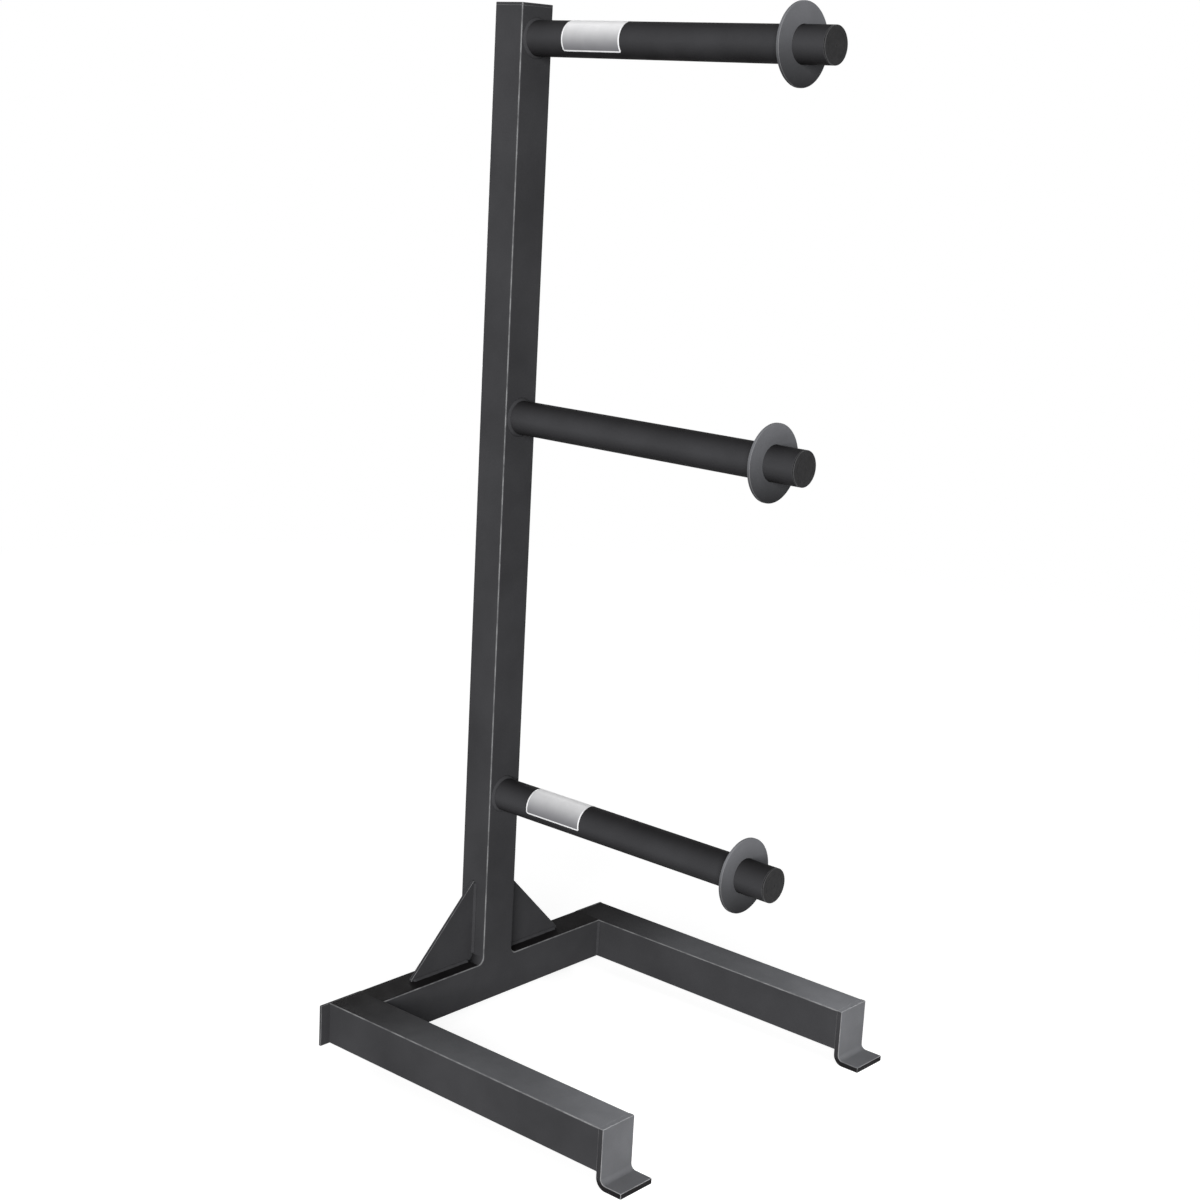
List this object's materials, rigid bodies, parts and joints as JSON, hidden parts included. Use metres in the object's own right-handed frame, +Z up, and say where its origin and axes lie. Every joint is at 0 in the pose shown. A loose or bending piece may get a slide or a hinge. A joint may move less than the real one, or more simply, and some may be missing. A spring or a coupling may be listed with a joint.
{
  "type": "hose reel rack",
  "caption": "Freestanding steel rack: a square column on a welded base with long legs carries round pipe arms, one above the other, each with a removable round keeper plate.",
  "frame": {"origin": "on the floor, at the middle of the whole rack's outline seen from above", "axes": "+Z up, -Y to the front, where the arms and the legs point, and +X to the viewer's right when looking along +Y at the front"},
  "size_m": [0.748, 0.743, 1.838],
  "materials": {
    "frame_paint": "semi-gloss black powder coat",
    "keeper_paint": "semi-gloss black powder coat",
    "plug_plastic": "moulded black polyethylene",
    "label_vinyl": "blank white vinyl",
    "screw_steel": "dull zinc plating"
  },
  "bodies": {
    "frame": {"rear_cross_tube": "frame_paint", "left_leg_tube": "frame_paint", "right_leg_tube": "frame_paint", "left_front_foot": "frame_paint", "right_front_foot": "frame_paint", "left_rear_foot": "frame_paint", "right_rear_foot": "frame_paint", "left_rear_end_plate": "frame_paint", "right_rear_end_plate": "frame_paint", "column_tube": "frame_paint", "column_cap": "frame_paint", "left_gusset": "frame_paint", "right_gusset": "frame_paint", "column_welds": "frame_paint", "corner_welds": "frame_paint", "gusset_welds": "frame_paint", "rear_foot_welds": "frame_paint", "arm_welds": "frame_paint", "upper_arm_tube": "frame_paint", "middle_arm_tube": "frame_paint", "lower_arm_tube": "frame_paint", "upper_arm_plug": "plug_plastic", "middle_arm_plug": "plug_plastic", "lower_arm_plug": "plug_plastic", "upper_label": "label_vinyl", "lower_label": "label_vinyl"},
    "upper_keeper": {"upper_keeper_plate": "keeper_paint", "upper_keeper_collar": "keeper_paint", "upper_keeper_weld": "keeper_paint"},
    "upper_screw": {"upper_set_screw": "screw_steel"},
    "middle_keeper": {"middle_keeper_plate": "keeper_paint", "middle_keeper_collar": "keeper_paint", "middle_keeper_weld": "keeper_paint"},
    "middle_screw": {"middle_set_screw": "screw_steel"},
    "lower_keeper": {"lower_keeper_plate": "keeper_paint", "lower_keeper_collar": "keeper_paint", "lower_keeper_weld": "keeper_paint"},
    "lower_screw": {"lower_set_screw": "screw_steel"}
  },
  "joints": [
    {"name": "upper_keeper_slide", "type": "slide", "parent": "frame", "child": "upper_keeper", "axis": [0, -1, 0], "range_m": [-0.52, 0.35]},
    {"name": "upper_screw_turn", "type": "hinge", "parent": "upper_keeper", "child": "upper_screw", "pos_m": [0.01, -0.2845, 1.773], "axis": [0, 0, 1], "range_deg": [0, 1080]},
    {"name": "middle_keeper_slide", "type": "slide", "parent": "frame", "child": "middle_keeper", "axis": [0, -1, 0], "range_m": [-0.52, 0.35]},
    {"name": "middle_screw_turn", "type": "hinge", "parent": "middle_keeper", "child": "middle_screw", "pos_m": [0.01, -0.2845, 1.126], "axis": [0, 0, 1], "range_deg": [0, 1080]},
    {"name": "lower_keeper_slide", "type": "slide", "parent": "frame", "child": "lower_keeper", "axis": [0, -1, 0], "range_m": [-0.52, 0.35]},
    {"name": "lower_screw_turn", "type": "hinge", "parent": "lower_keeper", "child": "lower_screw", "pos_m": [0.01, -0.2845, 0.428], "axis": [0, 0, 1], "range_deg": [0, 1080]}
  ]
}
